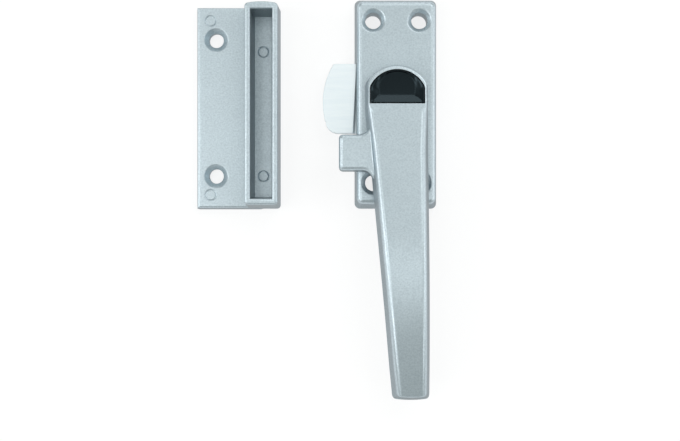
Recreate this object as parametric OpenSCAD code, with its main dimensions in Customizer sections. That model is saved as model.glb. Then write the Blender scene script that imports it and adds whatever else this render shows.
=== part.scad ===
// Window latch in two halves, sizes in mm: a screwed-on base with a turning handle, a push-button
// lock and a steel tongue, and the strike box that the tongue enters.
// Origin on the handle's pivot axis at the mounting face. +Z points out of the wall, +Y along the
// base, and the strike box lies towards -X. Both halves rest on their mounting faces.

/* [Base plate] */
// Width of the base at its mounting face
plate_w = 26.6; // [26:0.1:28]
// Length of the base at its mounting face
plate_l = 67.9; // [67:0.1:72]
// Offset of the base's middle from the pivot, along the base
plate_y = -0.25; // [-0.5:0.05:0.5]
// Height of the base's front face
plate_h = 9; // [8.8:0.1:10]
// Thickness of the base's front wall
plate_front = 2.4; // [2.2:0.1:2.6]
// Thickness of the base's left wall and end walls
plate_wall = 2.2; // [1.8:0.1:2.6]
// Plan radius of the base's corners at the mounting face
plate_corner_r = 1.8; // [1.5:0.1:3]
// Plan radius of the base's corners at the front face
plate_top_r = 2; // [1.9:0.1:3]
// Radius of the base's front edges
plate_edge_r = 1.7; // [0.8:0.1:1.8]
// Draft of the base's long sides, in degrees
plate_side_draft = 4.5; // [3:0.5:7]
// Draft of the base's ends, in degrees
plate_end_draft = 10; // [5:0.5:13]

/* [Base screw holes] */
// Hole spacing across the base
screw_dx = 14.8; // [14.4:0.1:15.2]
// Hole spacing along the base
screw_dy = 52; // [51.6:0.1:53]
// Diameter of the through holes
screw_d = 5.2; // [4.2:0.1:5.4]
// Diameter of the countersinks at the front face
screw_sink_d = 7.6; // [6.6:0.1:8.6]
// Radius of the countersinks' edges
screw_sink_r = 0.8; // [0.4:0.1:0.9]
// Diameter of the bosses behind the front wall
screw_boss_d = 10.4; // [10:0.1:11]

/* [Pivot] */
// Diameter of the handle's round journal
journal_d = 9.6; // [9.5:0.1:9.8]
// Wall thickness of the bearing bush
bush_wall = 0.8; // [0.6:0.1:0.9]
// Radial running clearance of the journal in the bush
run_gap = 0.05; // [0.02:0.01:0.1]
// End play at each end of the bush
end_play = 0.1; // [0.05:0.01:0.2]
// Height of the bush above the base's front face
bush_rise = 0.5; // [0.4:0.1:0.7]
// Side of the square end of the journal
square_w = 6.5; // [6:0.1:6.6]
// Clearance of the square in the tongue and its washer, each side
square_gap = 0.05; // [0.02:0.01:0.1]
// Diameter of the headed end of the square
head_d = 8.8; // [8.2:0.1:9.2]
// Thickness of the headed end
head_t = 0.9; // [0.7:0.1:1]
// Diameter of the retaining washer
retain_d = 13; // [11:0.1:14]
// Thickness of the retaining washer
retain_t = 1; // [0.8:0.1:1.1]
// Outer diameter of the split spring washer
spring_washer_d = 14.4; // [13.6:0.1:14.6]
// Inner diameter of the split spring washer
spring_washer_bore = 11.6; // [11.5:0.1:12]
// Width of the split in the spring washer
spring_washer_split = 0.8; // [0.4:0.1:1.2]

/* [Tongue] */
// Radius of the tongue's round end about the pivot
tongue_r = 23.6; // [23:0.1:23.7]
// Reach of the tongue above the pivot
tongue_up = 12.4; // [12:0.1:12.8]
// Reach of the tongue below the pivot
tongue_down = 10; // [9:0.1:10.2]
// Thickness of the tongue's sheet
tongue_t = 2.5; // [2:0.1:2.6]
// Step of the tongue towards the front, just outside the base
tongue_step = 1.1; // [1:0.1:1.4]
// Run of the step along the tongue
step_run = 0.6; // [0.5:0.1:1.5]
// Distance of the step's front edge from the pivot
step_x = 13.4; // [13.3:0.05:14.5]
// Tilt of the step's line, in degrees
step_tilt = 3; // [0:0.5:4]
// Radius of the tongue's lower corner
tongue_corner_r = 3.9; // [3:0.1:5]
// Radius of the tongue's upper corner
tongue_tip_r = 1; // [0.5:0.1:1.5]
// Clearance between the tongue and the base in depth
tongue_gap = 0.4; // [0.3:0.05:0.5]
// Clearance between the tongue and the base at the tongue's edges
swing_gap = 0.35; // [0.3:0.05:0.4]

/* [Handle hub] */
// Radius of the hub's round end at its foot
hub_r = 12; // [11.8:0.1:12.2]
// Width of the hub across its straight sides at its foot
hub_w = 20; // [19.8:0.1:20.6]
// Radius of the hub's shoulders between its round end and its sides
hub_shoulder_r = 4.3; // [3.8:0.1:4.6]
// Depth of the hub and the grip
hub_h = 8.2; // [8:0.1:9]
// Draft of the hub's walls, in degrees
hub_draft = 5.5; // [3:0.5:6]
// Draft of the hub's round end, in degrees
hub_end_draft = 7.5; // [4:0.5:8]
// Radius of the hub's front edges at its sides
hub_edge_r = 0.45; // [0.3:0.05:0.5]
// Radius of the hub's front edge round its end
hub_rim_r = 0.9; // [0.6:0.05:1]

/* [Handle grip] */
// Slope of the front face away from the wall, in degrees
handle_rise = 6; // [4:0.5:7]
// Length of the straight part of the grip from the pivot
grip_straight = 40; // [35:1:45]
// Length of the grip from the pivot, along its face
grip_len = 94.6; // [90:0.1:105]
// Radius of the bow towards the grip's tip
grip_bow_r = 143; // [130:1:170]
// Offset of the tapered left side from the pivot, taken back to the pivot's level
grip_left = 10.35; // [10.2:0.05:10.6]
// Offset of the left side at the tip
grip_tip_left = 1.5; // [0:0.05:3]
// Offset of the right side at the tip
grip_tip_right = 10.6; // [10:0.1:11]
// Draft of the grip's sides, in degrees
grip_draft = 10; // [8:0.5:11]
// Length over which the hub's draft turns into the grip's
draft_blend = 16; // [10:1:20]
// Radius of the grip's front edges
grip_edge_r = 2; // [1.4:0.1:2.2]
// Length over which the hub's edge radius turns into the grip's
edge_blend = 3; // [2:0.5:6]
// Radius of the grip's back edges
grip_back_r = 0.5; // [0.3:0.1:0.8]
// Radius of the edges at the grip's tip
grip_tip_r = 0.7; // [0.5:0.1:1.2]
// Draft of the tip's end, in degrees
grip_tip_draft = 12.5; // [8:0.5:14]
// How far the tip's curved end stands out in its middle
grip_tip_bow = 0.5; // [0:0.1:0.6]
// Plan radius of the tip's corners
grip_tip_corner_r = 1.1; // [0.6:0.1:1.4]
// Wall thickness beside the hollow in the grip's back
core_wall = 2; // [1.6:0.1:2.2]
// Wall thickness in front of the hollow
core_front = 2.2; // [1.8:0.1:2.6]
// Start of the hollow along the grip
core_start = 27; // [26:1:30]
// Distance of the hollow's end from the tip
core_end = 6; // [4:0.5:8]

/* [Handle lug] */
// Reach of the lug to the left of the pivot
lug_x = 18.4; // [17:0.1:20]
// Distance of the lug's middle below the pivot
lug_y = 16.65; // [16:0.05:17]
// Length of the lug along the grip
lug_l = 11.9; // [11:0.1:12.5]
// Thickness of the lug
lug_t = 5; // [4.6:0.1:5.2]
// Height of the lug's back above the base's front face
lug_lift = 3; // [2.6:0.1:3.2]
// Draft of the lug's edges, in degrees
lug_draft = 5; // [3:0.5:7]
// Radius of the lug's front edges
lug_edge_r = 1.3; // [0.8:0.1:1.5]
// Radius of the hollow corners above and below the lug
lug_fillet_r = 3.4; // [2.6:0.1:3.6]
// Radius of the hollow between the lug's face and the grip
lug_crease_r = 0.6; // [0.4:0.1:0.8]

/* [Push button] */
// Radius of the button pocket's round end
pocket_r = 9.6; // [9.4:0.05:9.7]
// Width of the button pocket
pocket_w = 17.4; // [17:0.1:17.6]
// Radius of the pocket's shoulders between its round end and its sides
pocket_shoulder_r = 3; // [2.6:0.1:3.4]
// Distance of the pocket's straight edge below the pivot
pocket_edge = 1.3; // [1:0.1:1.6]
// Thickness of the pocket's floor
pocket_floor = 2.4; // [2.3:0.1:2.6]
// Clearance round the button
button_gap = 0.25; // [0.2:0.05:0.35]
// Depth of the button's rim below the hub's front face
button_sink = 0.3; // [0.1:0.05:0.4]
// Travel of the button
button_travel = 1.8; // [1.6:0.1:1.9]
// Depth of the button's finger dish
dish_depth = 1.3; // [1:0.1:1.6]
// Width of the button's rim round the dish
dish_rim = 0.15; // [0.1:0.05:0.4]
// Radius of the dish's floor about the pivot
dish_floor_r = 6.2; // [5.5:0.1:6.5]
// Distance of the dish floor's straight edge above the pivot
dish_floor_y = 1.6; // [1.2:0.1:2.2]
// Diameter of the button's stem
stem_d = 2; // [1.8:0.1:2.1]
// Diameter of the snap barb on the stem
barb_d = 2.7; // [2.6:0.1:2.8]
// Height of the snap barb
barb_h = 0.7; // [0.6:0.1:0.8]
// Clearance of the stem in its hole, and of the barb below it
stem_gap = 0.15; // [0.1:0.05:0.2]
// Distance of the stem from the pivot
stem_y = 8; // [7.9:0.05:8.1]

/* [Springs] */
// Distance of the button spring from the pivot
coil_y = 1.6; // [1.4:0.1:1.8]
// Mean radius of the button spring
coil_r = 1.5; // [1.4:0.05:1.6]
// Wire diameter of the button spring
coil_wire = 0.4; // [0.3:0.05:0.45]
// Turns of the button spring
coil_turns = 6; // [5:1:7]
// Radius of the spring's bore
coil_bore_r = 2; // [1.95:0.05:2.1]
// Depth of the spring's bore below the pocket's floor
coil_bore_depth = 6; // [5.5:0.1:6.2]
// Thickness of the lock spring's sheet
leaf_t = 0.5; // [0.4:0.05:0.6]
// Width of the lock spring
leaf_w = 4.8; // [4.4:0.1:5.2]
// Distance of the lock spring's far end from the pivot
leaf_end = 23; // [22.5:0.1:24]
// Width of the lock spring's tab
tab_w = 4; // [3.6:0.1:4.2]
// Distance of the tab's inner face from the pivot
tab_y = 7.6; // [7.5:0.05:7.7]
// Clearance of the tab in the hub and in the base, each side
tab_gap = 0.3; // [0.25:0.05:0.4]
// Diameter of the base's pegs that hold the lock spring
peg_d = 2.4; // [2:0.1:2.6]
// Clearance of the pegs in the lock spring
peg_gap = 0.05; // [0.02:0.01:0.1]

/* [Keeper] */
// Length of the strike box at its mounting face
keeper_l = 65.7; // [65:0.1:70]
// Width of the keeper at its mounting face
keeper_w = 27.2; // [26.5:0.1:30]
// Height of the strike box
keeper_h = 16.5; // [14:0.1:18]
// Position of the keeper's right side
keeper_x = -37.4; // [-45:0.1:-36]
// Position of the strike box's middle along the base
keeper_y = -1.35; // [-5:0.05:5]
// Thickness of the screw flange
flange_t = 4.4; // [3.6:0.1:5]
// How far the flange stops short of the strike box's arched end
flange_short = 0.4; // [0.2:0.1:1]
// How far the flange goes past the strike box's lower end
flange_past = 0.2; // [0:0.1:0.4]
// Draft of the flange's edges, in degrees
flange_draft = 6; // [2:0.5:8]
// Radius of the flange's front edges
flange_edge_r = 0.9; // [0.5:0.1:1.2]
// Plan radius of the flange's corners
flange_corner_r = 0.9; // [0.7:0.1:2]
// Width of the strike box at its rim
strike_w = 10.5; // [10.1:0.1:11]
// Plan radius of the strike box's corners
strike_corner_r = 1.2; // [0.9:0.1:1.6]
// Length of the slot below its rounded rim
slot_l = 59.8; // [59.2:0.1:60]
// Width of the slot below its rounded rim
slot_w = 6.8; // [6.6:0.1:7]
// Offset of the slot's middle from the strike box's middle, along the box
slot_y = 0.15; // [0:0.05:0.3]
// Thickness of the slot's floor
slot_floor = 2; // [1.5:0.1:3]
// Draft of the slot's walls, in degrees
slot_draft = 2.5; // [1:0.5:3]
// Draft of the strike box's long sides, in degrees
strike_draft = 1; // [0.5:0.5:2]
// Draft of the strike box's lower end, in degrees
strike_end_draft = 4; // [2:0.5:4.5]
// Draft of the strike box's arched upper end, in degrees
arch_draft = 1.5; // [1:0.5:3]
// Radius of the rim's edges
rim_r = 0.75; // [0.4:0.05:0.8]
// Rise of the strike box's arched upper end
arch_rise = 0.35; // [0.2:0.05:0.6]
// Spacing of the keeper's screw holes
keeper_screw_dy = 44; // [40:0.5:48]
// Diameter of the keeper's screw holes
keeper_screw_d = 4.7; // [4.2:0.1:5.2]
// Diameter of the keeper's countersinks
keeper_sink_d = 7.7; // [7:0.1:8.4]
// Radius of the keeper's countersinks' edges
keeper_sink_r = 0.4; // [0.2:0.1:0.6]
// Distance of the keeper's screw holes from its left side
keeper_screw_x = 6.5; // [6:0.1:8]
// Offset of the screw holes' middle from the strike box's middle, along the box
keeper_screw_y = -0.4; // [-1:0.05:1]
// Radius of the ejector marks' grooves
mark_r = 1.7; // [1.2:0.1:2]
// Width of the ejector marks' grooves
mark_w = 0.5; // [0.3:0.05:0.6]
// Depth of the ejector marks' grooves
mark_t = 0.2; // [0.1:0.05:0.3]

/* [Hidden] */
$fn = 64;
wall_back = plate_h - plate_front;
bush_r = journal_d / 2 + run_gap + bush_wall;
bush_top = plate_h + bush_rise;
hub_z = bush_top + end_play;
face_z = hub_z + hub_h;
floor_z = hub_z + pocket_floor;
tongue_top = wall_back - tongue_gap;
inner_top = tongue_top - tongue_step;
inner_bottom = inner_top - tongue_t;
retain_bottom = inner_bottom - retain_t;
swing_r = tongue_r + swing_gap;
cavity_right = tongue_down + swing_gap;
stem_hole_top = floor_z - 0.8;
barb_top = stem_hole_top - stem_gap / 2;
barb_bottom = barb_top - barb_h;
button_z = floor_z + button_travel + 0.2;
tab_top = barb_bottom - 0.1;
groove_in = stem_y - barb_d / 2 - tab_gap;
groove_out = stem_y + barb_d / 2 + tab_gap;
groove_depth = button_travel - (barb_bottom - plate_h) + 0.4;
lug_z = plate_h + lug_lift;
lug_top = lug_z + lug_t;
coil_bottom = floor_z - coil_bore_depth;
pegs_y = [leaf_end - 3, leaf_end - 8.5];
keeper_left = keeper_x - keeper_w;
strike_foot_w = strike_w + 2 * keeper_h * tan(strike_draft);
strike_x = keeper_x - strike_foot_w / 2;
slot_depth = keeper_h - slot_floor;
strike_end = keeper_l / 2;
silver = [0.72, 0.77, 0.79];
steel = [0.86, 0.9, 0.92];

// A 2D shape drawn in X and height, extruded along Y
module along_y(length) {
    rotate([90, 0, 0])
        linear_extrude(height = length, center = true)
            children();
}

// A 2D shape drawn in Y and height, extruded along X
module along_x(length) {
    rotate([90, 0, 90])
        linear_extrude(height = length, center = true)
            children();
}

// Distance from the middle to the centre of a front edge's rounding, on a drafted wall
function edge_centre(half_w, h, r, draft) = half_w - (h - r) * tan(draft) - r / cos(draft);

// Section of a drafted block with rounded front edges
module drafted_profile(half_w, h, r, draft) {
    cx = edge_centre(half_w, h, r, draft);
    arc = [for (i = [0:8]) let (a = draft + (90 - draft) * i / 8) [cx + r * cos(a), h - r + r * sin(a)]];
    polygon(concat(
        [[-half_w, 0], [half_w, 0]],
        arc,
        [for (i = [8:-1:0]) [-arc[i][0], arc[i][1]]]));
}

module rounded_rectangle(w, l, r) {
    square([w - 2 * r, l], center = true);
    square([w, l - 2 * r], center = true);
    for (x = [-1, 1], y = [-1, 1])
        translate([x * (w / 2 - r), y * (l / 2 - r)])
            circle(r);
}

// A screw hole with a 90 degree countersink, rounded where it meets the front face at height h
module screw_hole(d, sink_d, edge_r, h) {
    edge_x = sink_d / 2 + edge_r * tan(22.5);
    rotate_extrude()
        polygon(concat(
            [[0, -1], [d / 2, -1], [d / 2, h - (sink_d - d) / 2]],
            [for (a = [135:-9:90]) [edge_x + edge_r * cos(a), h - edge_r + edge_r * sin(a)]],
            [[edge_x, h + 1], [0, h + 1]]));
}

// Ring for the front corner of a hulled block: plan radius r, edge radius edge_r
module corner_ring(r, edge_r) {
    rotate_extrude($fn = 32)
        intersection() {
            translate([r - edge_r, 0])
                circle(edge_r, $fn = 32);
            translate([0, -edge_r])
                square([r + 1, 2 * edge_r]);
        }
}

module at_base_screws() {
    for (x = [-1, 1], y = [-1, 1])
        translate([x * screw_dx / 2, y * screw_dy / 2, 0])
            children();
}

// Outer shape of the base, with drafted walls, rounded front edges and rounded corners
module plate_block() {
    inset = plate_top_r - plate_edge_r;
    top_x = edge_centre(plate_w / 2, plate_h, plate_edge_r, plate_side_draft) - inset;
    top_y = edge_centre(plate_l / 2, plate_h, plate_edge_r, plate_end_draft) - inset;
    hull() {
        for (x = [-1, 1], y = [-1, 1]) {
            translate([x * (plate_w / 2 - plate_corner_r), y * (plate_l / 2 - plate_corner_r), 0])
                cylinder(r = plate_corner_r, h = 0.3, $fn = 32);
            translate([x * top_x, y * top_y, plate_h - plate_edge_r])
                corner_ring(plate_top_r, plate_edge_r);
        }
    }
}

// Hollow behind the base's front wall, with the bosses of its screw holes left standing
module plate_hollow() {
    left = -plate_w / 2 + plate_wall;
    half_l = plate_l / 2 - plate_wall;
    difference() {
        translate([left, plate_y - half_l, -1])
            cube([cavity_right - left, 2 * half_l, wall_back + 1]);
        at_base_screws()
            translate([0, 0, -2])
                cylinder(d = screw_boss_d, h = wall_back + 3);
    }
}

// Room that the tongue sweeps, which also opens the base's left wall
module swing_room() {
    intersection() {
        translate([0, 0, -1])
            cylinder(r = swing_r, h = wall_back + 1, $fn = 96);
        translate([-40, -40, -2])
            cube([40 + cavity_right, 40 + tongue_up + swing_gap, wall_back + 3]);
    }
}

module tab_hole(y0, y1, z0, z1) {
    translate([-tab_w / 2 - tab_gap, y0, z0])
        cube([tab_w + 2 * tab_gap, y1 - y0, z1 - z0]);
}

module base_plate() {
    color(silver) {
        difference() {
            translate([0, plate_y, 0])
                plate_block();
            plate_hollow();
            swing_room();
            at_base_screws()
                screw_hole(screw_d, screw_sink_d, screw_sink_r, plate_h);
            translate([0, 0, -1])
                cylinder(r = bush_r, h = plate_h + 2);
            // Ring groove in which the button's stem travels when it is pressed
            translate([0, 0, plate_h - groove_depth])
                difference() {
                    cylinder(r = groove_out, h = groove_depth + 1);
                    translate([0, 0, -1])
                        cylinder(r = groove_in, h = groove_depth + 3);
                }
            tab_hole(tab_y - tab_gap, tab_y + leaf_t + tab_gap, wall_back - 1, plate_h + 1);
        }
        // Headed pegs that hold the lock spring
        for (y = pegs_y) {
            translate([0, y, wall_back - leaf_t - 0.8])
                cylinder(d = peg_d, h = leaf_t + 1.3);
            translate([0, y, wall_back - leaf_t - 0.8])
                cylinder(d = peg_d + 1.6, h = 0.8);
        }
    }
}

module bearing_bush() {
    color([0.93, 0.93, 0.9])
        translate([0, 0, inner_top + end_play])
            difference() {
                cylinder(r = bush_r, h = bush_top - inner_top - end_play);
                translate([0, 0, -1])
                    cylinder(r = journal_d / 2 + run_gap, h = plate_h + 4);
            }
}

// Leaf spring against the back of the front wall, its tab bent up into the hub
module lock_spring() {
    color(steel)
        difference() {
            union() {
                translate([-leaf_w / 2, tab_y, wall_back - leaf_t])
                    cube([leaf_w, leaf_end - tab_y, leaf_t]);
                translate([-tab_w / 2, tab_y, wall_back - leaf_t])
                    cube([tab_w, leaf_t, tab_top - wall_back + leaf_t]);
            }
            for (y = pegs_y)
                translate([0, y, wall_back - 2])
                    cylinder(d = peg_d + 2 * peg_gap, h = 4);
        }
}

// The grip's front face follows a path: straight from the hub, then bowed back to the wall.
// s is the distance from the pivot along that path.
function path_angle(s) = s < grip_straight ? handle_rise
    : handle_rise - (s - grip_straight) / grip_bow_r * 180 / PI;
function path_y(s) = s < grip_straight ? -s * cos(handle_rise)
    : -grip_straight * cos(handle_rise)
      - grip_bow_r * (sin(handle_rise) - sin(path_angle(s)));
function path_z(s) = s < grip_straight ? face_z + s * sin(handle_rise)
    : face_z + grip_straight * sin(handle_rise)
      + grip_bow_r * (cos(path_angle(s)) - cos(handle_rise));

// Sides of the handle at its back, and the blend from the hub's section to the grip's
function side_left(s) = max(-hub_w / 2, -grip_left + (grip_left - grip_tip_left) * s / grip_len);
function side_right(s) = hub_w / 2 + (grip_tip_right - hub_w / 2) * max(0, s) / grip_len;
function ease(u) = let (v = min(1, max(0, u))) v * v * (3 - 2 * v);
function draft_at(s) = hub_draft + (grip_draft - hub_draft) * ease((s - pocket_edge) / draft_blend);
function edge_at(s) = hub_edge_r + (grip_edge_r - hub_edge_r) * ease((s - pocket_edge) / edge_blend);
// How far the section shrinks over the rounded tip, and how far the tip's corners stand back
function tip_inset(s) = let (u = max(0, s - grip_len + grip_tip_r))
    grip_tip_r - sqrt(max(0, grip_tip_r * grip_tip_r - u * u));
function tip_curve(x, depth, s) =
    let (mid = (side_left(s) + side_right(s)) / 2,
         half = (side_right(s) - side_left(s)) / 2,
         r = grip_tip_corner_r,
         u = min(r, max(0, abs(x - mid) - half + (hub_h + depth) * tan(grip_draft) + r)))
    (grip_tip_bow * pow((x - mid) / half, 2) + r - sqrt(r * r - u * u)) * ease((s - grip_len) / 12 + 1);

// Points of one section as [x, depth], from the back left round the front to the back right
function section(xl, xr, t, draft, r, rb) =
    let (bl = xl + rb * tan(draft) + rb / cos(draft),
         br = xr - rb * tan(draft) - rb / cos(draft),
         fl = xl + (t - r) * tan(draft) + r / cos(draft),
         fr = xr - (t - r) * tan(draft) - r / cos(draft))
    concat(
        [for (i = [0:3]) let (a = 270 - (90 + draft) * i / 3) [bl + rb * cos(a), rb * sin(a) + rb - t]],
        [for (i = [0:8]) let (a = 180 - draft - (90 - draft) * i / 8) [fl + r * cos(a), r * sin(a) - r]],
        [for (i = [1:5]) [fl + (fr - fl) * i / 6, 0]],
        [for (i = [0:8]) let (a = 90 - (90 - draft) * i / 8) [fr + r * cos(a), r * sin(a) - r]],
        [for (i = [0:3]) let (a = draft - (90 + draft) * i / 3) [br + rb * cos(a), rb * sin(a) + rb - t]],
        [for (i = [1:5]) [br - (br - bl) * i / 6, -t]]);

// Places a section's points at s along the path, sunk below the face; upright, but drafted at the tip
function placed(points, s, sunk) =
    let (lean = tan(grip_tip_draft) * ease((s - grip_len) / 30 + 1))
    [for (p = points)
        [p[0], path_y(s) + tip_curve(p[0], p[1], s) + p[1] * lean, path_z(s) + p[1] - sunk]];

// A solid through a list of sections, the first one nearest the hub, with fans as its ends
function middle(ring) = [for (k = [0:2]) [for (p = ring) 1] * [for (p = ring) p[k]] / len(ring)];
module loft(rings) {
    n = len(rings[0]);
    m = len(rings);
    polyhedron(
        points = concat([for (ring = rings) each ring], [middle(rings[0]), middle(rings[m - 1])]),
        faces = concat(
            [for (j = [0:n - 1]) [m * n, (j + 1) % n, j]],
            [for (i = [0:m - 2], j = [0:n - 1], half = [0, 1])
                let (a = i * n + j, b = i * n + (j + 1) % n)
                half == 0 ? [a, b, b + n] : [a, b + n, a + n]],
            [for (j = [0:n - 1]) [m * n + 1, (m - 1) * n + j, (m - 1) * n + (j + 1) % n]]),
        convexity = 6);
}

bow_end = grip_len - grip_tip_r;
grip_stations = concat(
    [-16, pocket_edge - 0.4],
    [for (i = [0:6]) pocket_edge + edge_blend * i / 6],
    [for (i = [1:5]) pocket_edge + edge_blend + (draft_blend - edge_blend) * i / 5],
    [28, grip_straight],
    [for (i = [1:12]) grip_straight + (bow_end - grip_straight) * i / 12],
    [for (i = [1:4]) bow_end + grip_tip_r * sin(i * 22.5) * 0.999]);

// The whole lever: tapered, drafted on both sides, rounded in front, bowed along its length
module lever() {
    loft([for (s = grip_stations)
        let (e = tip_inset(s))
        placed(section(side_left(s) + e, side_right(s) - e, hub_h - 2 * e, draft_at(s), edge_at(s),
                       grip_back_r), s, e)]);
}

core_stations = [for (i = [0:9]) core_start + (grip_len - core_end - core_start) * i / 9];

// Hollow in the grip's back, with walls parallel to the outside
module grip_core() {
    past = 2;
    loft([for (s = core_stations)
        let (widen = past * tan(grip_draft))
        placed(section(side_left(s) + core_wall - widen, side_right(s) - core_wall + widen,
                       hub_h - core_front + past, grip_draft, 1.2, 0.3), s, core_front)]);
}

// Outline with a round end about the pivot, straight sides down to y0 and rounded shoulders between
function arch_points(half_w, r, shoulder_r, y0) =
    let (q = min(shoulder_r, r - 0.2),
         half = min(half_w, r - 0.01),
         cx = half - q,
         cy = sqrt(pow(r - q, 2) - cx * cx),
         a = atan2(cy, cx))
    concat(
        [[half, y0]],
        [for (i = [0:8]) [cx + q * cos(a * i / 8), cy + q * sin(a * i / 8)]],
        [for (i = [1:23]) let (b = a + (180 - 2 * a) * i / 24) [r * cos(b), r * sin(b)]],
        [for (i = [8:-1:0]) [-cx - q * cos(a * i / 8), cy + q * sin(a * i / 8)]],
        [[-half, y0]]);

// Half width of a drafted block with rounded front edges, at height z
function drafted_half(z, half_w, h, r, draft) =
    z < h - r + r * sin(draft) ? half_w - z * tan(draft)
        : edge_centre(half_w, h, r, draft) + sqrt(max(0, r * r - pow(z - h + r, 2)));

// Levels of the hub's rounded end, from its front face down to a little below its foot
hub_below = 3;
hub_top = hub_h + hub_below + 0.02;
hub_levels = concat(
    [for (i = [8:-1:0]) hub_top - hub_rim_r * (1 - sin(hub_end_draft + (90 - hub_end_draft) * i / 8))],
    [0]);

// Drafted block that rounds off the hub's end, square to the sloping front face
module hub_end() {
    end_r = hub_r + hub_below * tan(hub_end_draft);
    side = hub_w / 2 + hub_below * tan(hub_draft) + 0.03;
    translate([0, 0, face_z])
        rotate([-handle_rise, 0, 0])
            translate([0, 0, -hub_h - hub_below])
                loft([for (z = hub_levels)
                    let (r = drafted_half(z, end_r, hub_top, hub_rim_r, hub_end_draft),
                         half = drafted_half(z, side, hub_top, hub_edge_r, hub_draft))
                    [for (p = arch_points(half, r, hub_shoulder_r + r - end_r, -2)) [p[0], p[1], z]]]);
}

// Outline of the button pocket, or of the button inside it
module button_outline(inset) {
    polygon(arch_points(pocket_w / 2 - inset, pocket_r - inset, pocket_shoulder_r - inset,
                        inset - pocket_edge));
}

// Hollow corners of the lug: where they start in X, and how far they have widened the lug at x
function wall_x(s, z) = side_left(s) + (z - path_z(s) + hub_h) * tan(draft_at(s));
function flare_start(s) = wall_x(s, lug_top - lug_edge_r) - lug_fillet_r;
function flare(x, start) = let (u = min(0.97 * lug_fillet_r, max(0, x - start)))
    lug_fillet_r - sqrt(lug_fillet_r * lug_fillet_r - u * u);
above = flare_start(lug_y - lug_l / 2);
below = flare_start(lug_y + lug_l / 2);
// How far the lug's section shrinks over its rounded end
function lug_inset(x) = let (u = max(0, lug_edge_r - lug_x - x))
    lug_edge_r - sqrt(max(0, lug_edge_r * lug_edge_r - u * u));

lug_stations = concat(
    [for (i = [0:5]) -lug_x + lug_edge_r * (1 - cos(i * 18)) + 0.002],
    [for (i = [0:10]) above + (below + 0.97 * lug_fillet_r - above) * i / 10],
    [-4]);

// The lug: drafted edges rounded to the front, widened by a hollow corner on both sides of its root
module lug() {
    loft([for (x = lug_stations)
        let (e = lug_inset(x),
             low = -lug_y - lug_l / 2 - flare(x, below) + e,
             high = -lug_y + lug_l / 2 + flare(x, above) - e)
        [for (p = section(low, high, lug_t - 2 * e, lug_draft, lug_edge_r - 0.9 * e, 0.4 - 0.3 * e))
            [x, p[0], lug_top + p[1] - e]]]);
}

// Hollow between the lug's face and the grip's side, fading out at both ends
module lug_crease() {
    half = lug_l / 2;
    z = lug_top - 0.02;
    loft([for (k = [[-half - 0.6, 0.1], [2 - half, 1], [half - 2, 1], [half + 0.6, 0.1]])
        let (s = lug_y + k[0], r = lug_crease_r * k[1], d = draft_at(s), x = wall_x(s, z),
             cx = x + 0.04 + r * tan(d) - r / cos(d))
        [for (p = concat(
            [[cx, z - 1]],
            [for (i = [0:6]) let (a = 270 + (90 - d) * i / 6) [cx + r * cos(a), z + r + r * sin(a)]],
            [[x + 1, z + r], [x + 1, z - 1]]))
            [p[0], path_y(s), p[1]]]]);
}

module handle() {
    color(silver)
        difference() {
            union() {
                intersection() {
                    lever();
                    union() {
                        hub_end();
                        translate([-50, -150, 0])
                            cube([100, 150, 60]);
                    }
                    translate([-50, -150, hub_z + 0.1])
                        cube([100, 200, 60]);
                }
                lug();
                lug_crease();
                // Bearing face, journal, square and headed end
                translate([0, 0, hub_z])
                    cylinder(r = groove_out + 0.1, h = pocket_floor - 0.2);
                translate([0, 0, inner_top])
                    cylinder(d = journal_d, h = floor_z - inner_top - 0.1);
                translate([-square_w / 2, -square_w / 2, retain_bottom - 0.1])
                    cube([square_w, square_w, inner_top - retain_bottom + 0.5]);
                translate([0, 0, retain_bottom - head_t])
                    cylinder(d1 = head_d - 1.2, d2 = head_d, h = head_t);
            }
            // Pocket of the button, bore of its spring and hole of its stem
            translate([0, 0, floor_z])
                linear_extrude(height = 20)
                    button_outline(0);
            translate([0, coil_y, coil_bottom])
                cylinder(r = coil_bore_r, h = coil_bore_depth + 1);
            translate([0, stem_y, hub_z])
                cylinder(d = stem_d + 2 * stem_gap, h = 5);
            // Notch that the lock spring's tab stands in
            tab_hole(stem_y - barb_d / 2 - tab_gap, stem_y + barb_d / 2 + tab_gap, hub_z - 1,
                     stem_hole_top);
            grip_core();
        }
}

// Outline of the tongue, round about the pivot at its end, with a disc round the square
module tongue_outline() {
    near = 3.3;
    low_y = -tongue_down + tongue_corner_r;
    low_x = -sqrt(pow(tongue_r - tongue_corner_r, 2) - low_y * low_y);
    up_y = tongue_up - tongue_tip_r;
    up_x = -sqrt(pow(tongue_r - tongue_tip_r, 2) - up_y * up_y);
    circle(5.9);
    intersection() {
        circle(tongue_r, $fn = 128);
        union() {
            translate([-40, low_y])
                square([40 - near, up_y - low_y]);
            translate([low_x, -tongue_down])
                square([-low_x, tongue_down + 4.5]);
            translate([up_x, 0])
                square([-up_x - near, tongue_up]);
            translate([low_x, low_y])
                circle(tongue_corner_r);
            translate([up_x, up_y])
                circle(tongue_tip_r);
        }
    }
}

// Steel tongue, stepped forward just outside the base
module tongue() {
    low = inner_top - tongue_t;
    color(steel)
        difference() {
            intersection() {
                linear_extrude(height = plate_h)
                    tongue_outline();
                rotate([0, 0, -step_tilt])
                    along_y(60)
                        polygon([[15, low], [15, inner_top], [step_run - step_x, inner_top],
                                 [-step_x, tongue_top], [-30, tongue_top],
                                 [-30, tongue_top - tongue_t], [-step_x - 0.4, tongue_top - tongue_t],
                                 [step_run - step_x - 0.4, low]]);
            }
            translate([0, 0, plate_h / 2])
                cube([square_w + 2 * square_gap, square_w + 2 * square_gap, 2 * plate_h], center = true);
        }
}

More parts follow.
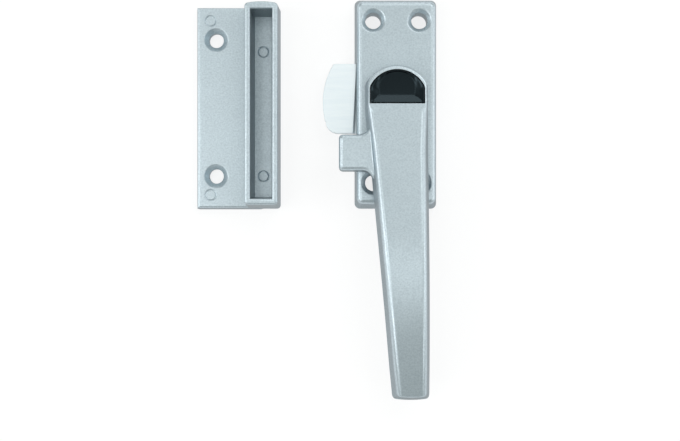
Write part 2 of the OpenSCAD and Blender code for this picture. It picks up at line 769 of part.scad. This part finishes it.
// Split washer under spring load between the tongue and the base
module spring_washer() {
    color(steel)
        translate([0, 0, inner_top])
            difference() {
                cylinder(d = spring_washer_d, h = wall_back - inner_top - end_play);
                translate([0, 0, -1])
                    cylinder(d = spring_washer_bore, h = plate_h);
                rotate([20, 0, 30])
                    translate([0, -spring_washer_split / 2, -5])
                        cube([20, spring_washer_split, 20]);
            }
}

module retaining_washer() {
    side = square_w + 2 * square_gap;
    color(steel)
        translate([0, 0, retain_bottom])
            difference() {
                cylinder(d = retain_d, h = retain_t);
                cube([side, side, 4 * retain_t], center = true);
            }
}

// Rings of the coil spring's wire along its helix
coil_steps = 14;
coil_sides = 6;
coil_lift = button_z - coil_bottom - coil_wire;
function coil_ring(i) =
    let (turn = i / coil_steps, z = coil_bottom + coil_wire / 2 + coil_lift * turn / coil_turns)
    [for (k = [0:coil_sides - 1])
        let (w = coil_r + coil_wire / 2 * cos(k * 360 / coil_sides))
        [w * cos(turn * 360), coil_y + w * sin(turn * 360),
         z + coil_wire / 2 * sin(k * 360 / coil_sides)]];

module button_spring() {
    count = coil_turns * coil_steps;
    color(steel)
        loft([for (i = [count:-1:0]) coil_ring(i)]);
}

// Finger dish, wide at the button's rim and narrow at its floor
module dish() {
    hull() {
        translate([0, 0, face_z - button_sink])
            rotate([-handle_rise, 0, 0])
                linear_extrude(height = 1)
                    button_outline(button_gap + dish_rim);
        translate([0, 0, face_z - button_sink - dish_depth])
            rotate([-handle_rise, 0, 0])
                linear_extrude(height = 0.1)
                    intersection() {
                        circle(dish_floor_r, $fn = 48);
                        translate([-dish_floor_r, dish_floor_y])
                            square([2 * dish_floor_r, 20]);
                    }
    }
}

module push_button() {
    color([0.08, 0.09, 0.1])
        difference() {
            union() {
                intersection() {
                    translate([0, 0, button_z])
                        linear_extrude(height = 8)
                            button_outline(button_gap);
                    translate([0, 0, face_z - button_sink])
                        rotate([-handle_rise, 0, 0])
                            translate([-20, -20, -20])
                                cube([40, 40, 20]);
                }
                translate([0, stem_y, barb_bottom])
                    cylinder(d = stem_d, h = button_z - barb_bottom + 0.5);
                translate([0, stem_y, barb_bottom])
                    cylinder(d1 = stem_d, d2 = barb_d, h = barb_h);
                translate([0, coil_y, floor_z])
                    cylinder(r = coil_r - coil_wire / 2 - 0.2, h = button_z - floor_z + 0.5);
            }
            dish();
        }
}

// Slot of the strike box as a section: drafted walls that round over at the rim
module slot_profile(half_w) {
    foot = half_w - slot_depth * tan(slot_draft);
    lip_x = half_w - rim_r * (1 - sin(slot_draft)) * tan(slot_draft) + rim_r * cos(slot_draft);
    lip = [for (i = [0:6]) let (a = 180 - slot_draft - (90 - slot_draft) * i / 6)
        [lip_x + rim_r * cos(a), keeper_h - rim_r + rim_r * sin(a)]];
    polygon(concat(
        [[-foot, slot_floor], [foot, slot_floor]],
        lip,
        [[lip_x, keeper_h + 3], [-lip_x, keeper_h + 3]],
        [for (i = [6:-1:0]) [-lip[i][0], lip[i][1]]]));
}

// Outside of the strike box: drafted, rounded at its rim and corners, arched at its upper end
module strike_box() {
    inset = strike_corner_r - rim_r;
    foot_x = strike_foot_w / 2 - strike_corner_r;
    foot_y = strike_end - strike_corner_r;
    top_x = edge_centre(strike_foot_w / 2, keeper_h, rim_r, strike_draft) - inset;
    low_y = edge_centre(strike_end, keeper_h, rim_r, strike_end_draft) - inset;
    high_y = edge_centre(strike_end, keeper_h, rim_r, arch_draft) - inset;
    hull() {
        for (x = [-1, 1]) {
            translate([x * foot_x, -foot_y, 0])
                cylinder(r = strike_corner_r, h = 0.3, $fn = 32);
            translate([x * top_x, -low_y, keeper_h - rim_r])
                corner_ring(strike_corner_r, rim_r);
        }
        for (u = [-1:0.25:1]) {
            translate([u * foot_x, foot_y - arch_rise * u * u, 0])
                cylinder(r = strike_corner_r, h = 0.3, $fn = 32);
            translate([u * top_x, high_y - arch_rise * u * u, keeper_h - rim_r])
                corner_ring(strike_corner_r, rim_r);
        }
    }
}

module at_keeper_screws() {
    for (y = [-1, 1])
        translate([keeper_left + keeper_screw_x, keeper_y + keeper_screw_y + y * keeper_screw_dy / 2, 0])
            children();
}

// Ejector marks on the flange, then on the slot's floor: x from the left side, y from the middle, z
marks = [[keeper_left + 4.7, keeper_l / 2 - 5.05, flange_t],
         [keeper_left + 4.7, -keeper_l / 2 + 4.4, flange_t],
         [strike_x, keeper_l / 2 - 14.8, slot_floor],
         [strike_x, -keeper_l / 2 + 10.5, slot_floor]];

// Screw flange and strike box in one casting
module keeper() {
    flange_w = keeper_w - strike_foot_w / 2;
    flange_l = keeper_l - flange_short + flange_past;
    color(silver)
        difference() {
            union() {
                translate([keeper_left + flange_w / 2, keeper_y - (flange_short + flange_past) / 2, 0])
                    intersection() {
                        along_y(keeper_l + 2)
                            drafted_profile(flange_w / 2, flange_t, flange_edge_r, flange_draft);
                        along_x(keeper_w)
                            drafted_profile(flange_l / 2, flange_t + 0.05, flange_edge_r, flange_draft);
                        translate([0, 0, -1])
                            linear_extrude(height = flange_t + 2)
                                rounded_rectangle(flange_w, flange_l, flange_corner_r);
                    }
                translate([strike_x, keeper_y, 0])
                    strike_box();
            }
            translate([strike_x, keeper_y + slot_y, 0])
                intersection() {
                    along_y(keeper_l)
                        slot_profile(slot_w / 2);
                    along_x(keeper_w)
                        slot_profile(slot_l / 2);
                }
            at_keeper_screws()
                screw_hole(keeper_screw_d, keeper_sink_d, keeper_sink_r, flange_t);
            for (m = marks)
                translate([m[0], keeper_y + m[1], m[2]])
                    rotate_extrude()
                        translate([mark_r, 0])
                            polygon([[-mark_w / 2, 0.2], [-mark_w / 2, 0], [0, -mark_t], [mark_w / 2, 0],
                                     [mark_w / 2, 0.2]]);
        }
}

base_plate();
bearing_bush();
lock_spring();
handle();
tongue();
spring_washer();
retaining_washer();
button_spring();
push_button();
keeper();
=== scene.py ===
import math

import bpy
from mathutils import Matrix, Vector


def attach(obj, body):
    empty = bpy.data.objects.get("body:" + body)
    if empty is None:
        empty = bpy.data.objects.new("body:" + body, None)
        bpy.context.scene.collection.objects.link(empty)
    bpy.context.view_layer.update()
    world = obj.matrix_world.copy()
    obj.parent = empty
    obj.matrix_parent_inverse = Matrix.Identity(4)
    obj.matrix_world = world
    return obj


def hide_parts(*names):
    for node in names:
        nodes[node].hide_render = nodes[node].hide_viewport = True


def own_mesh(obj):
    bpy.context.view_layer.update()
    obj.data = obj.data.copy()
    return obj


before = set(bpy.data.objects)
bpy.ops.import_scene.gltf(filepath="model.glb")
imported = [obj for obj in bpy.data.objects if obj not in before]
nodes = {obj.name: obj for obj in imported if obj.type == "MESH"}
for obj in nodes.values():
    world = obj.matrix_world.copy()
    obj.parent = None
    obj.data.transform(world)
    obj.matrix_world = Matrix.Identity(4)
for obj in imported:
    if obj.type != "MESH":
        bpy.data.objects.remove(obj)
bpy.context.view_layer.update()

MM = 0.001


# Material nodes


def new_material(name):
    """An empty node material, with the socket that takes its shader."""
    material = bpy.data.materials.new(name)
    material.use_nodes = True
    tree = material.node_tree
    tree.nodes.clear()
    out = tree.nodes.new("ShaderNodeOutputMaterial")
    return material, tree, out.inputs["Surface"]


def principled(name):
    material, tree, surface = new_material(name)
    bsdf = tree.nodes.new("ShaderNodeBsdfPrincipled")
    tree.links.new(bsdf.outputs["BSDF"], surface)
    return material, tree, bsdf


def noise(tree, scale, detail, roughness, stretch=(1, 1, 1)):
    """Noise over the object, scale per metre, drawn out along the axes where stretch is below 1."""
    place = tree.nodes.new("ShaderNodeTexCoord")
    mapping = tree.nodes.new("ShaderNodeMapping")
    mapping.inputs["Scale"].default_value = stretch
    tree.links.new(place.outputs["Object"], mapping.inputs["Vector"])
    node = tree.nodes.new("ShaderNodeTexNoise")
    node.inputs["Scale"].default_value = scale
    node.inputs["Detail"].default_value = detail
    node.inputs["Roughness"].default_value = roughness
    tree.links.new(mapping.outputs["Vector"], node.inputs["Vector"])
    return node.outputs["Fac"]


def grey(value):
    return value, value, value


def ramp(tree, factor, stops):
    """Colours at positions of the factor."""
    node = tree.nodes.new("ShaderNodeValToRGB")
    elements = node.color_ramp.elements
    while len(elements) < len(stops):
        elements.new(0.5)
    for i, (position, colour) in enumerate(stops):
        elements[i].position = position
        elements[i].color = (*colour, 1)
    tree.links.new(factor, node.inputs["Fac"])
    return node.outputs["Color"]


def multiply(tree, first, second):
    node = tree.nodes.new("ShaderNodeMix")
    node.data_type = "RGBA"
    node.blend_type = "MULTIPLY"
    # The node repeats its socket names for each data type, so the colour ones are taken by number
    node.inputs[0].default_value = 1
    tree.links.new(first, node.inputs[6])
    tree.links.new(second, node.inputs[7])
    return node.outputs[2]


def relief(tree, bsdf, height, strength, distance, edge=0):
    """Fine relief, and sharp edges that catch the light as if rounded with the radius edge."""
    node = tree.nodes.new("ShaderNodeBump")
    if edge:
        rounded = tree.nodes.new("ShaderNodeBevel")
        rounded.samples = 8
        rounded.inputs["Radius"].default_value = edge
        tree.links.new(rounded.outputs["Normal"], node.inputs["Normal"])
    node.inputs["Strength"].default_value = strength
    node.inputs["Distance"].default_value = distance
    tree.links.new(height, node.inputs["Height"])
    tree.links.new(node.outputs["Normal"], bsdf.inputs["Normal"])


# Materials


def silver_paint():
    material, tree, bsdf = principled("silver_paint")
    flakes = noise(tree, scale=1800, detail=3, roughness=0.65)
    cloud = noise(tree, scale=90, detail=3, roughness=0.5)
    grain = ramp(tree, flakes, [(0.3, (0.47, 0.55, 0.595)), (0.5, (0.55, 0.635, 0.68)),
                                (0.72, (0.635, 0.72, 0.765))])
    tone = ramp(tree, cloud, [(0.3, grey(0.96)), (0.7, grey(1))])
    tree.links.new(multiply(tree, grain, tone), bsdf.inputs["Base Color"])
    gloss = ramp(tree, flakes, [(0.2, grey(0.37)), (0.8, grey(0.27))])
    tree.links.new(gloss, bsdf.inputs["Roughness"])
    bsdf.inputs["Metallic"].default_value = 0.8
    bsdf.inputs["Specular Tint"].default_value = (0.3, 0.3, 0.3, 1)
    relief(tree, bsdf, flakes, strength=0.12, distance=0.08 * MM, edge=0.2 * MM)
    return material


def zinc_sheet():
    material, tree, bsdf = principled("zinc_sheet")
    streaks = noise(tree, scale=900, detail=3, roughness=0.6, stretch=(0.12, 1, 1))
    specks = noise(tree, scale=2200, detail=2, roughness=0.5)
    tint = ramp(tree, streaks, [(0.3, (0.86, 0.93, 0.965)), (0.7, (0.91, 0.97, 0.99))])
    tree.links.new(tint, bsdf.inputs["Base Color"])
    gloss = ramp(tree, specks, [(0.3, grey(0.5)), (0.7, grey(0.42))])
    tree.links.new(gloss, bsdf.inputs["Roughness"])
    bsdf.inputs["Metallic"].default_value = 0.6
    bsdf.inputs["Specular Tint"].default_value = (0.2, 0.2, 0.2, 1)
    relief(tree, bsdf, streaks, strength=0.04, distance=0.05 * MM, edge=0.4 * MM)
    return material


def spring_steel():
    material, tree, bsdf = principled("spring_steel")
    brushed = noise(tree, scale=1500, detail=3, roughness=0.6, stretch=(1, 0.1, 1))
    tint = ramp(tree, brushed, [(0.3, (0.42, 0.43, 0.44)), (0.7, (0.58, 0.59, 0.6))])
    tree.links.new(tint, bsdf.inputs["Base Color"])
    gloss = ramp(tree, brushed, [(0.3, grey(0.36)), (0.7, grey(0.26))])
    tree.links.new(gloss, bsdf.inputs["Roughness"])
    bsdf.inputs["Metallic"].default_value = 1
    return material


def black_plastic():
    material, tree, bsdf = principled("black_plastic")
    eroded = noise(tree, scale=3500, detail=2, roughness=0.6)
    tint = ramp(tree, eroded, [(0.3, (0.001, 0.0015, 0.002)), (0.7, (0.002, 0.003, 0.004))])
    tree.links.new(tint, bsdf.inputs["Base Color"])
    gloss = ramp(tree, eroded, [(0.3, grey(0.19)), (0.7, grey(0.13))])
    tree.links.new(gloss, bsdf.inputs["Roughness"])
    bsdf.inputs["Specular IOR Level"].default_value = 0.38
    bsdf.inputs["Specular Tint"].default_value = (0.62, 0.88, 1, 1)
    relief(tree, bsdf, eroded, strength=0.03, distance=0.03 * MM)
    return material


def acetal():
    material, tree, bsdf = principled("acetal")
    cloud = noise(tree, scale=400, detail=2, roughness=0.5)
    tint = ramp(tree, cloud, [(0.3, (0.72, 0.71, 0.66)), (0.7, (0.78, 0.77, 0.73))])
    tree.links.new(tint, bsdf.inputs["Base Color"])
    bsdf.inputs["Roughness"].default_value = 0.4
    return material


SILVER, ZINC, STEEL, BLACK, ACETAL = silver_paint(), zinc_sheet(), spring_steel(), black_plastic(), acetal()
LOOKS = {"base_plate": SILVER, "handle": SILVER, "keeper": SILVER, "tongue": ZINC, "push_button": BLACK,
         "bearing_bush": ACETAL, "lock_spring": STEEL, "spring_washer": STEEL, "retaining_washer": ZINC,
         "button_spring": STEEL}
WELD_GAP = 0.001 * MM
SHARP_ANGLE = math.radians(30)


def dress(o, material):
    """The material on a piece, shaded smooth between its sharp edges."""
    o.data.materials.clear()
    o.data.materials.append(material)
    o.data.polygons.foreach_set("use_smooth", [True] * len(o.data.polygons))
    o.modifiers.new("weld", "WELD").merge_threshold = WELD_GAP
    o.modifiers.new("split", "EDGE_SPLIT").split_angle = SHARP_ANGLE
    o.modifiers.new("normals", "WEIGHTED_NORMAL").keep_sharp = True


for name, material in LOOKS.items():
    dress(nodes[name], material)


# Outlines and meshes


def polar(radius, angle, centre=(0, 0)):
    return centre[0] + radius * math.cos(angle), centre[1] + radius * math.sin(angle)


def line(start, end, count):
    """Evenly spaced points from start on, without end."""
    return [tuple(a + (b - a) * i / count for a, b in zip(start, end)) for i in range(count)]


def strip(first, count):
    """Faces between a ring of count points and the next one."""
    following = [(i + 1) % count for i in range(count)]
    return [(first + i, first + j, first + count + j, first + count + i) for i, j in enumerate(following)]


def add_object(name, data):
    o = bpy.data.objects.new(name, data)
    bpy.context.scene.collection.objects.link(o)
    return o


def add_mesh(name, verts, faces):
    mesh = bpy.data.meshes.new(name)
    mesh.from_pydata(verts, [], faces)
    return add_object(name, mesh)


# The button with the smooth finger dish of the photo, in mm, otherwise as the CAD node

CAP_HALF, CAP_R, SHOULDER_R, CAP_FOOT = 8.45, 9.35, 2.75, -1.05
SHOULDER_X = CAP_HALF - SHOULDER_R
SHOULDER_Y = math.sqrt((CAP_R - SHOULDER_R) ** 2 - SHOULDER_X ** 2)
BUTTON_TOP, BUTTON_FOOT, EDGE_R = 17.5, 14.0, 0.2
FACE_SLOPE = math.tan(math.radians(6))
# The dish: width of its rim, y of its floor's lower edge, depth there, and depth lost per mm above it
DISH_RIM, DISH_FOOT, DISH_DEPTH, DISH_RISE = 0.25, 1.7, 1.2, 0.1
# Distance of its floor from the rim at the shoulder and at the top, and how fast that falls between
GAP_SIDE, GAP_TOP, GAP_BEND = 2.6, 0.3, 2.5
# How far its floor's side draws in at the foot and below the shoulder, and how far below
LEAN_FOOT, LEAN_SHOULDER, LEAN_DROP = 0.15, 0.05, 0.6
# Places of the rings on its wall, and half the length of the fillet at the floor, as shares of the wall
WALL_SHARES, FILLET = [0, 0.3, 0.6], 0.12
STEM_Y, STEM_R, BARB_R, BARB_FOOT, BARB_TOP = 8, 1, 1.35, 10.425, 11.125
GUIDE_Y, GUIDE_R, GUIDE_FOOT = 1.6, 1.1, 12
SIDE_N, SHOULDER_N, ARCH_N, FOOT_N, EDGE_N, FILLET_N, ROUND_N = 6, 10, 16, 24, 4, 3, 32

ARCH_START = math.atan2(SHOULDER_Y, SHOULDER_X)
ARCH = [ARCH_START + (math.pi / 2 - ARCH_START) * i / ARCH_N for i in range(ARCH_N + 1)]


def closed(right):
    """Closed outline from its right half, which runs from the foot's corner up to the middle."""
    left = [(-x, y) for x, y in reversed(right[:-1])]
    return right + left + line(left[-1], right[0], FOOT_N)[1:]


def cap_outline(inset):
    """The button's outline, drawn in by inset."""
    half = CAP_HALF - inset
    side = line((half, CAP_FOOT + inset), (half, SHOULDER_Y), SIDE_N)
    shoulder = [polar(SHOULDER_R - inset, ARCH_START * i / SHOULDER_N, (SHOULDER_X, SHOULDER_Y))
                for i in range(SHOULDER_N)]
    return closed(side + shoulder + [polar(CAP_R - inset, angle) for angle in ARCH])


def dish_floor():
    """Outline of the dish's floor, point for point inside that of its rim."""
    gaps = [GAP_TOP + (GAP_SIDE - GAP_TOP) * (1 - i / ARCH_N) ** GAP_BEND for i in range(ARCH_N + 1)]
    top = [polar(CAP_R - DISH_RIM - gap, angle) for gap, angle in zip(gaps, ARCH)]
    x, y = top[0]
    low = (x - LEAN_FOOT, DISH_FOOT)
    high = (x - LEAN_SHOULDER, y - LEAN_DROP)
    return closed(line(low, high, SIDE_N) + line(high, top[0], SHOULDER_N) + top)


def dish_drop(share):
    """Share of the dish's depth on the way from its rim (0) to its floor (1), with a fillet there."""
    if share < 1 - FILLET:
        return share
    return 1 if share > 1 + FILLET else share - (share - 1 + FILLET) ** 2 / (4 * FILLET)


def cap_rings():
    """Rings from the button's foot, over its rounded edge and down the dish to its floor."""
    def level(points, drop, share=0):
        return [(x, y, BUTTON_TOP - y * FACE_SLOPE - drop
                 - share * (DISH_DEPTH - DISH_RISE * max(0, y - DISH_FOOT))) for x, y in points]

    rings = [[(x, y, BUTTON_FOOT) for x, y in cap_outline(0)]]
    for i in range(EDGE_N + 1):
        turn = math.pi / 2 * i / EDGE_N
        rings.append(level(cap_outline(EDGE_R * (1 - math.cos(turn))), EDGE_R * (1 - math.sin(turn))))
    rim, bottom = cap_outline(DISH_RIM), dish_floor()
    fillet_shares = [1 + FILLET * i / FILLET_N for i in range(-FILLET_N, FILLET_N + 1)]
    for share in WALL_SHARES + fillet_shares:
        points = [(a + (c - a) * share, b + (d - b) * share) for (a, b), (c, d) in zip(rim, bottom)]
        rings.append(level(points, 0, dish_drop(share)))
    return rings


def turned(y, profile):
    """Rings of a round stem whose profile gives radius and height."""
    return [[(*polar(radius, math.tau * i / ROUND_N, (0, y)), z) for i in range(ROUND_N)]
            for radius, z in profile]


def button_mesh():
    stem = turned(STEM_Y, [(STEM_R, BARB_FOOT), (BARB_R, BARB_TOP), (STEM_R, BARB_TOP),
                           (STEM_R, BUTTON_FOOT)])
    guide = turned(GUIDE_Y, [(GUIDE_R, GUIDE_FOOT), (GUIDE_R, BUTTON_FOOT)])
    verts, faces = [], []
    for rings in (cap_rings(), stem, guide):
        count, first = len(rings[0]), len(verts)
        verts += [(x * MM, y * MM, z * MM) for ring in rings for x, y, z in ring]
        for k in range(len(rings) - 1):
            faces += strip(first + k * count, count)
        faces.append(tuple(range(first + count - 1, first - 1, -1)))
        faces.append(tuple(range(len(verts) - count, len(verts))))
    return verts, faces


button = add_mesh("button_cap", *button_mesh())
dress(button, BLACK)
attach(button, "button")
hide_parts("push_button")


# The two springs under the button, each a copy of its CAD node's shape


def yielding(name, node, body):
    """A copy of the CAD node's shape in spring steel, carried by the body in the node's place."""
    o = add_object(name, nodes[node].data.copy())
    bpy.context.view_layer.update()
    o.matrix_world = nodes[node].matrix_world.copy()
    dress(o, STEEL)
    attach(o, body)
    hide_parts(node)
    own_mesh(o)


yielding("button_coil", "button_spring", "lever")
yielding("lock_leaf", "lock_spring", "base")


# Floor and world, in m

# A round floor whose rim curves up, so that low views end on it too
FLOOR_CORE, FLOOR_REACH, COVE_R, FLOOR_GAP = 0.25, 2.5, 0.6, 0.3 * MM
FLOOR_N, COVE_N = 96, 8


def floor_material():
    """White with a faint shadow where it is seen or mirrored, and pale for the light that it sends back."""
    material, tree, surface = new_material("floor")
    glow = tree.nodes.new("ShaderNodeEmission")
    glow.inputs["Color"].default_value = (1, 1, 1, 1)
    glow.inputs["Strength"].default_value = 0.79
    shadow = tree.nodes.new("ShaderNodeBsdfDiffuse")
    shadow.inputs["Color"].default_value = (0.25, 0.25, 0.25, 1)
    white = tree.nodes.new("ShaderNodeAddShader")
    tree.links.new(glow.outputs["Emission"], white.inputs[0])
    tree.links.new(shadow.outputs["BSDF"], white.inputs[1])
    pale = tree.nodes.new("ShaderNodeBsdfDiffuse")
    pale.inputs["Color"].default_value = (0.8, 0.8, 0.8, 1)
    path = tree.nodes.new("ShaderNodeLightPath")
    seen = path.outputs["Is Camera Ray"]
    for ray in ("Is Glossy Ray", "Is Transmission Ray"):
        either = tree.nodes.new("ShaderNodeMath")
        either.operation = "MAXIMUM"
        tree.links.new(seen, either.inputs[0])
        tree.links.new(path.outputs[ray], either.inputs[1])
        seen = either.outputs[0]
    pick = tree.nodes.new("ShaderNodeMixShader")
    tree.links.new(seen, pick.inputs["Fac"])
    tree.links.new(pale.outputs["BSDF"], pick.inputs[1])
    tree.links.new(white.outputs["Shader"], pick.inputs[2])
    tree.links.new(pick.outputs["Shader"], surface)
    return material


def floor_mesh():
    cove = [polar(COVE_R, math.pi / 2 * (i / COVE_N - 1), (FLOOR_REACH, COVE_R)) for i in range(COVE_N + 1)]
    rings = [(FLOOR_CORE, 0)] + cove
    verts = [(*polar(radius, math.tau * i / FLOOR_N), z - FLOOR_GAP)
             for radius, z in rings for i in range(FLOOR_N)]
    faces = [tuple(range(FLOOR_N))]
    for k in range(len(rings) - 1):
        faces += [face[::-1] for face in strip(k * FLOOR_N, FLOOR_N)]
    return verts, faces


floor = add_mesh("floor", *floor_mesh())
floor.data.materials.append(floor_material())

world = bpy.data.worlds.new("world")
bpy.context.scene.world = world
world.use_nodes = True
background = world.node_tree.nodes["Background"]
background.inputs["Color"].default_value = (0.95, 1, 0.975, 1)
background.inputs["Strength"].default_value = 0.43


# Light and camera

CAMERA = Vector((-18.05, -38.05, 460)) * MM
AIM = Vector((CAMERA.x, CAMERA.y, 10 * MM))
# The photo's focal length and width in pixels, and the camera's sensor in mm
FOCAL_PX, IMAGE_PX, SENSOR = 1409, 680, 36
CLIP_START = 10 * MM
# Soft boxes 1 m from the object: name, azimuth and elevation in degrees, width and height in m, W
BOXES = [
    ("right_low", 0, 10, 0.5, 0.5, 0.45),
    ("right_mid", 0, 30, 0.5, 0.5, 0.85),
    ("right_back", 45, 50, 0.5, 0.5, 1.4),
    ("right_small", 330, 40, 0.25, 0.25, 0.4),
    ("right_high", 0, 70, 0.4, 0.3, 0.3),
    ("back_strip", 90, 24, 0.5, 0.2, 0.55),
    ("back_high", 105, 68, 0.5, 0.3, 0.2),
    ("back_mid", 90, 50, 0.6, 0.25, 0.55),
    ("left_mid", 180, 30, 0.5, 0.5, 1.6),
    ("left_upper", 180, 50, 0.5, 0.5, 0.2),
    ("left_small", 210, 45, 0.25, 0.25, 0.55),
    ("left_front", 225, 50, 0.5, 0.5, 0.55),
    ("left_high", 175, 70, 0.3, 0.3, 0.7),
    ("top", 325, 84, 0.3, 0.3, 0.25),
]


def soft_box(name, azimuth, elevation, width, height, power):
    light = bpy.data.lights.new(name, "AREA")
    light.shape = "RECTANGLE"
    light.size, light.size_y = width, height
    light.energy = power
    across, up = polar(1, math.radians(elevation))
    away = Vector((*polar(across, math.radians(azimuth)), up))
    o = add_object(name, light)
    o.location = AIM + away
    o.rotation_euler = (-away).to_track_quat("-Z", "Y").to_euler()


for box in BOXES:
    soft_box(*box)

camera_data = bpy.data.cameras.new("camera")
camera_data.sensor_fit = "HORIZONTAL"
camera_data.sensor_width = SENSOR
camera_data.lens = SENSOR * FOCAL_PX / IMAGE_PX
camera_data.clip_start = CLIP_START
camera = add_object("camera", camera_data)
camera.location = CAMERA
bpy.context.scene.camera = camera
bpy.context.scene.view_settings.view_transform = "Standard"
